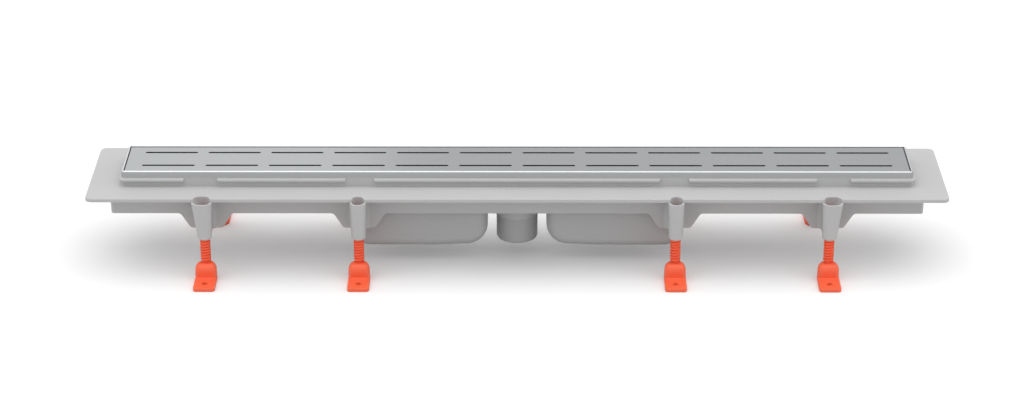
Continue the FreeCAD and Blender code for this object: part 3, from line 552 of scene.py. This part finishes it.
def cut(piece, tool):
    """Cuts the tool out of the piece once its mesh is taken."""
    modifier = piece.modifiers.new("cut", "BOOLEAN")
    modifier.object = tool
    modifier.solver = "EXACT"


def taken(piece, *tools):
    """The piece's mesh with its modifiers applied. The piece and its tools are removed."""
    bpy.context.view_layer.update()
    evaluated = piece.evaluated_get(bpy.context.evaluated_depsgraph_get())
    mesh = bpy.data.meshes.new_from_object(evaluated)
    for item in (piece, *tools):
        bpy.data.objects.remove(item)
    return mesh


def smooth(mesh, crease):
    """Smooth shading, with edges above the crease angle left sharp."""
    mesh.shade_smooth()
    mesh.set_sharp_from_angle(angle=math.radians(crease))


# ---- leg screws ----

def screw_tree(sizes, material):
    """A thread cut into a rod: each point's radius follows its height and its bearing."""
    tree = bpy.data.node_groups.new("leg_screw_thread", "GeometryNodeTree")
    lengths = {
        "Bottom": SCREW_LOW.z, "Top": SCREW_HIGH.z, "Shoulder": FOOT_HIGH.z,
        "Radius": (SCREW_HIGH.x - SCREW_LOW.x) / 2, "Journal": sizes.journal,
        "Pitch": sizes.thread_pitch, "Depth": sizes.thread_depth,
        "Drive width": sizes.drive_width, "Drive depth": sizes.drive_depth}
    tree.interface.new_socket("Geometry", in_out="OUTPUT", socket_type="NodeSocketGeometry")
    for name, length in lengths.items():
        socket = tree.interface.new_socket(name, in_out="INPUT", socket_type="NodeSocketFloat")
        socket.default_value = length
    tree.interface.new_socket("Stand", in_out="INPUT", socket_type="NodeSocketVector")
    start = tree.nodes.new("NodeGroupInput")
    given = {socket.name: Flow(tree, socket) for socket in start.outputs if socket.name}
    flow = Flow(tree)

    bottom, top, shoulder = given["Bottom"], given["Top"], given["Shoulder"]
    rows = flow.maths("ROUND", (top - bottom) / THREAD_STEP)
    rod = flow.node("GeometryNodeMeshCylinder", {
        "Vertices": THREAD_SIDES, "Side Segments": rows, "Radius": 1.0, "Depth": top - bottom}, output="Mesh")
    position = flow.node("GeometryNodeInputPosition")
    x = flow.node("ShaderNodeSeparateXYZ", {"Vector": position})
    y, z = x.other("Y"), x.other("Z") + (top + bottom) / 2
    turn = flow.maths("ARCTAN2", y, x) / math.tau
    phase = flow.maths("FRACT", z / given["Pitch"] - turn)
    from_crest = flow.maths("ABSOLUTE", phase - 0.5)
    crest, flank = sizes.thread_crest / 2, sizes.thread_flank
    groove = from_crest.ramp(crest, crest + flank)
    run_in = (z - shoulder).ramp(*THREAD_RUN_IN)
    end_chamfer = flow.maths("MAXIMUM", z - top + SCREW_CHAMFER, 0.0)
    core = given["Radius"] - given["Depth"]
    threaded = given["Radius"] - groove * given["Depth"] - end_chamfer
    plain = core + (given["Radius"] - core) * SHANK_SHARE
    upper = plain + (threaded - plain) * run_in
    radius = given["Journal"] + (upper - given["Journal"]) * (z - shoulder).above(-SHOULDER_SLACK)
    at = flow.node("ShaderNodeCombineXYZ", {"X": x * radius, "Y": y * radius, "Z": z})
    shaped = flow.node("GeometryNodeSetPosition", {"Geometry": rod, "Position": at})

    blade_size = flow.node("ShaderNodeCombineXYZ", {
        "X": given["Radius"] * BLADE_REACH, "Y": given["Drive width"], "Z": given["Drive depth"] * 2})
    blade = flow.node("GeometryNodeMeshCube", {"Size": blade_size})
    blade_up = flow.node("ShaderNodeCombineXYZ", {"Z": top})
    blade = flow.node("GeometryNodeTransform", {"Geometry": blade, "Translation": blade_up})
    slotted = flow.node("GeometryNodeMeshBoolean", {"Mesh 1": shaped, "Mesh 2": blade},
                        operation="DIFFERENCE", solver="EXACT")
    stood = flow.node("GeometryNodeTransform", {"Geometry": slotted, "Translation": given["Stand"]})
    real = flow.node("GeometryNodeRealizeInstances", {"Geometry": stood})
    coloured = flow.node("GeometryNodeSetMaterial", {"Geometry": real, "Material": material})
    end = tree.nodes.new("NodeGroupOutput")
    flow.feed(end.inputs["Geometry"], coloured)
    return tree


class DRAIN_OT_leg_screws(bpy.types.Operator):
    """Makes the eight threaded leg screws"""
    bl_idname = "drain.leg_screws"
    bl_label = "Leg screws"

    def execute(self, context):
        scene = context.scene
        tree = screw_tree(scene.drain_legs, bpy.data.materials["orange_moulding"])
        stand = tree.interface.items_tree["Stand"].identifier
        for name in LEG_NAMES:
            blank = bpy.data.objects.new("blank", bpy.data.meshes.new("blank"))
            scene.collection.objects.link(blank)
            modifier = blank.modifiers.new("thread", "NODES")
            modifier.node_group = tree
            modifier[stand] = leg_axis(name)
            made = taken(blank)
            smooth(made, LEG_CREASE)
            piece = bpy.data.objects.new(f"threaded_screw_{name}", made)
            scene.collection.objects.link(piece)
            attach(piece, SCREW + name)
            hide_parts(SCREW + name)
        return {"FINISHED"}


# ---- feet ----

def foot_rings(sizes):
    """Outlines of a foot from the floor up: plate, hollow root, boss and crown."""
    axis_y = leg_axis(LEG_NAMES[0]).y
    reach, heel_reach = axis_y - FOOT_LOW.y, FOOT_HIGH.y - axis_y
    half, height = (FOOT_HIGH.x - FOOT_LOW.x) / 2, FOOT_HIGH.z
    thick, edge, root = sizes.plate_thick, sizes.plate_edge, sizes.boss_root
    draft = math.tan(BOSS_DRAFT)
    bends = quarter_turn(FOOT_BENDS)
    half_bend = FLOOR_EDGE * FLOOR_EDGE_BEND

    def plate(inset, z):
        return rounded_ring(reach, heel_reach, half, sizes.plate_corner, sizes.heel_round, inset, z)

    def boss(front, inset, z):
        return rounded_ring(front, heel_reach, half, sizes.boss_corner, sizes.heel_round, inset, z)

    rings = [plate(FLOOR_EDGE, 0), plate(half_bend, half_bend), plate(0, FLOOR_EDGE)]
    rings += [plate(edge * (1 - math.cos(bend)), thick - edge + edge * math.sin(bend)) for bend in bends]
    for bend in bends:
        lift = root * (1 - math.cos(bend))
        front = sizes.boss_front + root * (1 - math.sin(bend))
        rings.append(boss(front, edge * math.cos(bend) + lift * draft, thick + lift))
    shoulder = height - sizes.crown_rise
    for bend in bends:
        drawn_in = 1 - math.cos(bend)
        front = sizes.boss_front - (sizes.crown_front - sizes.crown_side) * drawn_in
        inset = (shoulder - thick) * draft + sizes.crown_side * drawn_in
        rings.append(boss(front, inset, shoulder + sizes.crown_rise * math.sin(bend)))
    return rings


class DRAIN_OT_feet(bpy.types.Operator):
    """Makes the eight moulded feet"""
    bl_idname = "drain.feet"
    bl_label = "Feet"

    def execute(self, context):
        scene = context.scene
        sizes = scene.drain_legs
        material = bpy.data.materials["orange_moulding"]
        blank = to_object("foot_blank", loft(foot_rings(sizes)), material)
        drills = bmesh.new()
        bore, bore_end = sizes.journal + JOURNAL_PLAY, SCREW_LOW.z - JOURNAL_END
        holes = ((sizes.fixing_radius, -sizes.fixing_reach, -sizes.plate_thick, sizes.plate_thick * 2),
                 (bore, 0, bore_end, FOOT_HIGH.z * 2))
        for radius, y, low, high in holes:
            bmesh.ops.create_cone(
                drills, cap_ends=True, segments=HOLE_SIDES, radius1=radius, radius2=radius,
                depth=high - low, matrix=Matrix.Translation((0, y, (low + high) / 2)))
        drill = to_object("drills", drills, material)
        cut(blank, drill)
        edges = blank.modifiers.new("soft_edges", "BEVEL")
        edges.width = FOOT_BEVEL
        edges.segments = 2
        edges.limit_method = "ANGLE"
        edges.angle_limit = FOOT_BEVEL_ANGLE
        made = taken(blank, drill)
        smooth(made, LEG_CREASE)
        for name in LEG_NAMES:
            axis = leg_axis(name)
            mesh = made.copy()
            turned = Matrix.Rotation(math.pi if axis.y > 0 else 0, 4, "Z")
            mesh.transform(Matrix.Translation(axis) @ turned)
            piece = bpy.data.objects.new(f"moulded_foot_{name}", mesh)
            scene.collection.objects.link(piece)
            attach(piece, FOOT + name)
            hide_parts(FOOT + name)
        return {"FINISHED"}


# ---- trap bowls ----

def rounded_corner(before, corner, after, radius, steps=10):
    """Points of the arc that rounds a corner."""
    arriving, leaving = (before - corner).normalized(), (after - corner).normalized()
    half_angle = arriving.angle(leaving) / 2
    centre = corner + (arriving + leaving).normalized() * (radius / math.sin(half_angle))
    reach = radius / math.tan(half_angle)
    start, end = (corner + side * reach - centre for side in (arriving, leaving))
    return [centre + start.slerp(end, step / steps).normalized() * radius for step in range(steps + 1)]


def bowl_rings(sizes, low, high, inset):
    """Upright outlines of a bowl, one behind the other, drawn in by inset all round but the top."""
    grown = sizes.skin - inset
    near, far, half = low.x - grown, high.x + grown, high.y + grown
    floor, top = low.z - min(grown, 0), high.z + max(-grown, 0)
    edge = sizes.long_edge - inset
    rings = []
    rounding = [(half - edge + edge * math.sin(bend), edge * (1 - math.cos(bend)))
                for bend in quarter_turn(BOWL_BENDS)]
    for y, drawn in [(-y, drawn) for y, drawn in reversed(rounding)] + rounding:
        x_near, x_far, z = near + drawn, far - drawn, floor + drawn
        end, heel = Vector((x_near, top)), Vector((x_near, z + sizes.heel_lift))
        level, toe, far_end = Vector((sizes.level_from, z)), Vector((x_far, z)), Vector((x_far, top))
        outline = [end, *rounded_corner(end, heel, level, sizes.heel_round - inset - drawn), level,
                   *rounded_corner(level, toe, far_end, sizes.toe_round - inset - drawn), far_end]
        rings.append([Vector((point.x, y, point.y)) for point in outline])
    return rings


class DRAIN_OT_trap_bowls(bpy.types.Operator):
    """Makes the two trap bowls"""
    bl_idname = "drain.trap_bowls"
    bl_label = "Trap bowls"

    def execute(self, context):
        scene = context.scene
        sizes = scene.drain_traps
        # The bowls take the darker trap grey: painted shade.
        material = bpy.data.materials["trap_moulding"]
        corners = [Vector(corner) for corner in frame["nodes"]["trap_bowl_right"].bound_box]
        low, high = (Vector(pick(corner[axis] for corner in corners) for axis in range(3))
                     for pick in (min, max))
        outside = to_object("bowl_outside", loft(bowl_rings(sizes, low, high, 0)), material)
        hollow = bowl_rings(sizes, low, high, sizes.skin + sizes.wall)
        inside = to_object("bowl_inside", loft(hollow), material)
        notch = bmesh.new()
        notch_size = (WEIR_REACH, sizes.weir_width, 2 * (high.z - sizes.weir_height))
        bmesh.ops.create_cube(notch, size=1, matrix=Matrix.Translation((low.x, 0, high.z))
                              @ Matrix.Diagonal((*notch_size, 1)))
        weir = to_object("weir", notch, material)
        cut(outside, inside)
        cut(outside, weir)
        made = taken(outside, inside, weir)
        for side, along in (("left", -1), ("right", 1)):
            mesh = made.copy()
            mesh.transform(Matrix.Diagonal((along, 1, 1, 1)))
            shell = bmesh.new()
            shell.from_mesh(mesh)
            bmesh.ops.recalc_face_normals(shell, faces=shell.faces)
            shell.to_mesh(mesh)
            shell.free()
            smooth(mesh, BOWL_CREASE)
            piece = bpy.data.objects.new(f"moulded_trap_bowl_{side}", mesh)
            scene.collection.objects.link(piece)
            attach(piece, "channel")
            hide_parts(f"trap_bowl_{side}")
        return {"FINISHED"}


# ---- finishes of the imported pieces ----

class DRAIN_OT_finishes(bpy.types.Operator):
    """Gives the body, steel, inserts, spigot and rubber their finishes"""
    bl_idname = "drain.finishes"
    bl_label = "Finishes"

    def execute(self, context):
        finish = context.scene.drain_finish
        body_plastic = moulded_plastic("body_moulding", finish.moulding, BODY_ROUGHNESS, finish)
        # The trap parts get a darker grey than the body: painted shade.
        trap_plastic_painted_shade = moulded_plastic("trap_moulding", finish.trap_moulding, BODY_ROUGHNESS, finish)
        moulded_plastic("orange_moulding", finish.legs, LEG_ROUGHNESS, finish)
        rim = rim_steel("rim_steel", finish)
        grate = brushed_grate("grate_steel", finish)
        rubber = soft_rubber("black_rubber", finish.rubber)
        inserts = ["trap_insert_left", "trap_insert_right"]
        finish_nodes(body_plastic, ["channel_body"])
        finish_nodes(trap_plastic_painted_shade, ["outlet_spigot", *inserts])
        finish_nodes(rim, ["rim_frame"])
        finish_nodes(grate, ["grate"])
        finish_nodes(rubber, ["grate_pads", "insert_seal_left", "insert_seal_right"])
        return {"FINISHED"}


# ---- stage ----

def studio_floor(studio):
    """A pale floor that shows white, keeps the shadow, and lights the drain less than it shows."""
    material, flow, surface = new_material("studio_floor")
    seen = flow.node("ShaderNodeLightPath", output="Is Camera Ray")
    colour = blend(flow, seen, studio.floor_bounce, studio.floor)
    plain = flow.node("ShaderNodeBsdfDiffuse", {"Color": colour})
    glow = flow.node("ShaderNodeEmission", {"Color": (1, 1, 1, 1), "Strength": 1.0})
    mixed = flow.tree.nodes.new("ShaderNodeMixShader")
    for socket, value in zip(mixed.inputs, (seen * studio.floor_glow, plain, glow)):
        flow.feed(socket, value)
    flow.feed(surface, Flow(flow.tree, mixed.outputs[0]))
    shell = bmesh.new()
    bmesh.ops.create_grid(shell, x_segments=1, y_segments=1, size=FLOOR_HALF,
                          matrix=Matrix.Translation((0, 0, CAD_LOW.z - FLOOR_DROP)))
    to_object("studio_floor", shell, material)


def studio_sky(studio):
    """Even light all round that shows as white, and in the steel is a little brighter to the left."""
    world = bpy.data.worlds.new("studio_sky")
    world.use_nodes = True
    tree = world.node_tree
    tree.nodes.clear()
    flow = Flow(tree)
    camera = flow.node("ShaderNodeLightPath", output="Is Camera Ray")
    glossy, through = camera.other("Is Glossy Ray"), camera.other("Is Transmission Ray")
    direction = flow.node("ShaderNodeTexCoord", output="Generated")
    bearing = flow.node("ShaderNodeSeparateXYZ", {"Vector": direction})
    rise = bearing.other("Z")
    left = 1 - bearing.ramp(*SKY_SPLIT)
    band = rise.ramp(*SKY_RISE) * (1 - rise.ramp(*SKY_FALL))
    sides = studio.sky_right + left * (studio.sky_left - studio.sky_right)
    shown = sides * (SKY_DIM + band * (1 - SKY_DIM))
    eye = camera.maths("MAXIMUM", camera, through)
    soft = studio.sky + bearing * bearing * studio.sky_ends
    strength = eye + (1 - eye) * (glossy * shown + (1 - glossy) * soft)
    background = flow.node("ShaderNodeBackground", {"Color": (1, 1, 1, 1), "Strength": strength})
    output = tree.nodes.new("ShaderNodeOutputWorld")
    flow.feed(output.inputs["Surface"], background)
    bpy.context.scene.world = world


class DRAIN_OT_stage(bpy.types.Operator):
    """Sets up the floor, the light and the camera"""
    bl_idname = "drain.stage"
    bl_label = "Stage"

    def execute(self, context):
        scene = context.scene
        studio = scene.drain_studio
        studio_floor(studio)
        studio_sky(studio)
        lamp = bpy.data.lights.new("overhead", "SUN")
        lamp.energy = studio.lamp
        lamp.angle = studio.lamp_spread
        overhead = bpy.data.objects.new("overhead", lamp)
        overhead.rotation_euler = (LAMP_TILT, 0, 0)
        scene.collection.objects.link(overhead)
        eye = bpy.data.cameras.new("camera")
        eye.sensor_width = SENSOR_WIDTH
        eye.lens = studio.lens
        camera = bpy.data.objects.new("camera", eye)
        camera.location = (0, -studio.camera_distance, studio.camera_height)
        camera.rotation_euler = (math.pi / 2 - studio.camera_pitch, 0, studio.camera_pan)
        scene.collection.objects.link(camera)
        scene.camera = camera
        scene.view_settings.view_transform = "Standard"
        return {"FINISHED"}


# ---- panel and start ----

class DRAIN_PT_panel(bpy.types.Panel):
    """Lists the steps and their sizes"""
    bl_label = "Shower channel drain"
    bl_idname = "DRAIN_PT_panel"
    bl_space_type = "VIEW_3D"
    bl_region_type = "UI"
    bl_category = "Drain"

    def draw(self, context):
        for step in STEPS:
            self.layout.operator(step.bl_idname)
        scene = context.scene
        for group in (scene.drain_legs, scene.drain_traps, scene.drain_finish, scene.drain_studio):
            box = self.layout.box()
            for name in group.bl_rna.properties.keys():
                if name not in ("rna_type", "name"):
                    box.prop(group, name)


STEPS = (DRAIN_OT_finishes, DRAIN_OT_leg_screws, DRAIN_OT_feet, DRAIN_OT_trap_bowls, DRAIN_OT_stage)
CLASSES = (DrainLegSizes, DrainTrapSizes, DrainFinish, DrainStudio, *STEPS, DRAIN_PT_panel)


def register():
    for item in CLASSES:
        bpy.utils.register_class(item)
    bpy.types.Scene.drain_legs = bpy.props.PointerProperty(type=DrainLegSizes)
    bpy.types.Scene.drain_traps = bpy.props.PointerProperty(type=DrainTrapSizes)
    bpy.types.Scene.drain_finish = bpy.props.PointerProperty(type=DrainFinish)
    bpy.types.Scene.drain_studio = bpy.props.PointerProperty(type=DrainStudio)


def unregister():
    del bpy.types.Scene.drain_legs
    del bpy.types.Scene.drain_traps
    del bpy.types.Scene.drain_finish
    del bpy.types.Scene.drain_studio
    for item in reversed(CLASSES):
        bpy.utils.unregister_class(item)


def main():
    register()
    bpy.ops.drain.finishes()
    bpy.ops.drain.leg_screws()
    bpy.ops.drain.feet()
    bpy.ops.drain.trap_bowls()
    bpy.ops.drain.stage()


if __name__ == "__main__":
    main()
